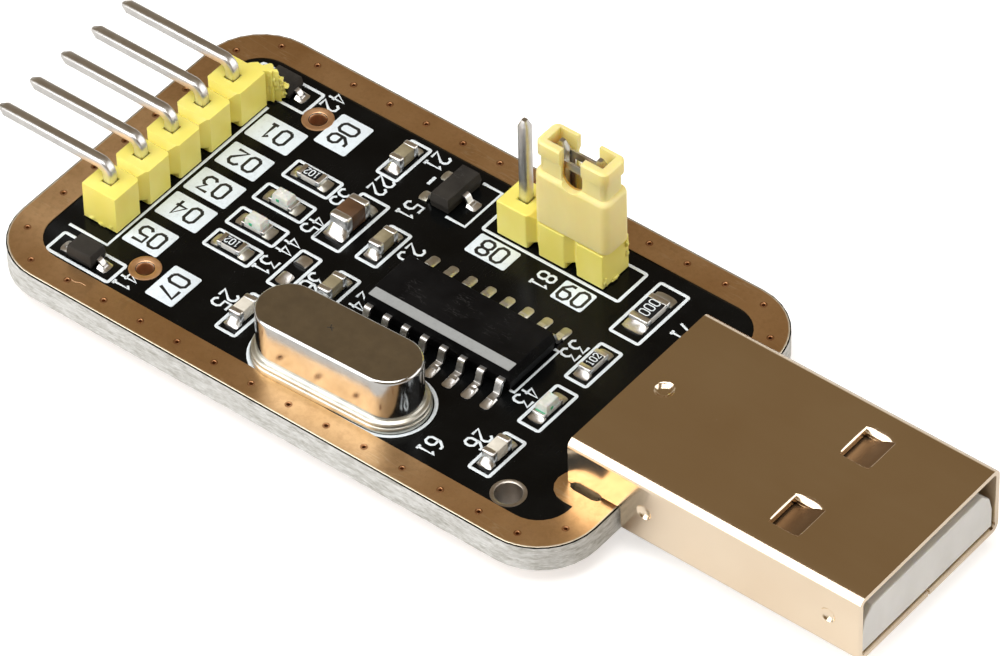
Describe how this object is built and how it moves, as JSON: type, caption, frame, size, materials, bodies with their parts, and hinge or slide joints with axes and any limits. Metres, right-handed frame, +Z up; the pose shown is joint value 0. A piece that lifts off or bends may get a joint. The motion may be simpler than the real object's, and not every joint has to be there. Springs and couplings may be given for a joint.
{
  "type": "usb interface converter",
  "caption": "small serial interface board with a USB plug at one end, a right-angle pin header at the other, a serial chip, a crystal and a capped jumper header",
  "frame": {"origin": "Middle of the bounding box, at its base: the pin tails that the board stands on touch z = 0.", "axes": "+X points out of the plug mouth, and the right-angle pins point to -X. +Y is across the board, to the side that carries the jumper header. +Z is up from the side that carries the parts."},
  "size_m": [0.058, 0.0228, 0.0112],
  "materials": {
    "board_black": "dark solder mask over glass fibre board",
    "border_gold": "thin bare metal plating, satin",
    "plug_metal": "bright plated sheet",
    "plug_plastic": "moulded, satin",
    "contact_gold": "plated strip",
    "header_yellow": "moulded, satin",
    "cap_cream": "moulded, satin",
    "pin_tin": "tinned square wire with solder",
    "crystal_nickel": "drawn metal, satin",
    "package_black": "moulded epoxy",
    "capacitor_ceramic": "fired body with tinned ends",
    "capacitor_brown": "fired body with tinned ends",
    "resistor_black": "coated film with tinned ends",
    "led_clear": "clear cast lens on a small base"
  },
  "bodies": {
    "root": {"circuit_board": "board_black", "border_plating": "border_gold", "usb_shell": "plug_metal", "usb_insulator": "plug_plastic", "usb_contact_1": "contact_gold", "usb_contact_2": "contact_gold", "usb_contact_3": "contact_gold", "usb_contact_4": "contact_gold", "header_housing": "header_yellow", "jumper_housing": "header_yellow", "jumper_cap": "cap_cream", "header_pin_1": "pin_tin", "header_pin_2": "pin_tin", "header_pin_3": "pin_tin", "header_pin_4": "pin_tin", "header_pin_5": "pin_tin", "jumper_pin_1": "pin_tin", "jumper_pin_2": "pin_tin", "jumper_pin_3": "pin_tin", "jumper_clip": "pin_tin", "crystal_lead_1": "pin_tin", "crystal_lead_2": "pin_tin", "crystal_can": "crystal_nickel", "crystal_base": "crystal_nickel", "serial_chip": "package_black", "regulator": "package_black", "diode_1": "package_black", "diode_2": "package_black", "capacitor_1": "capacitor_ceramic", "capacitor_3": "capacitor_ceramic", "capacitor_4": "capacitor_ceramic", "capacitor_5": "capacitor_ceramic", "capacitor_6": "capacitor_ceramic", "capacitor_2": "capacitor_brown", "fuse_link": "resistor_black", "resistor_1": "resistor_black", "resistor_3": "resistor_black", "resistor_5": "resistor_black", "indicator_led_3": "led_clear", "indicator_led_4": "led_clear", "indicator_led_5": "led_clear"}
  },
  "joints": []
}
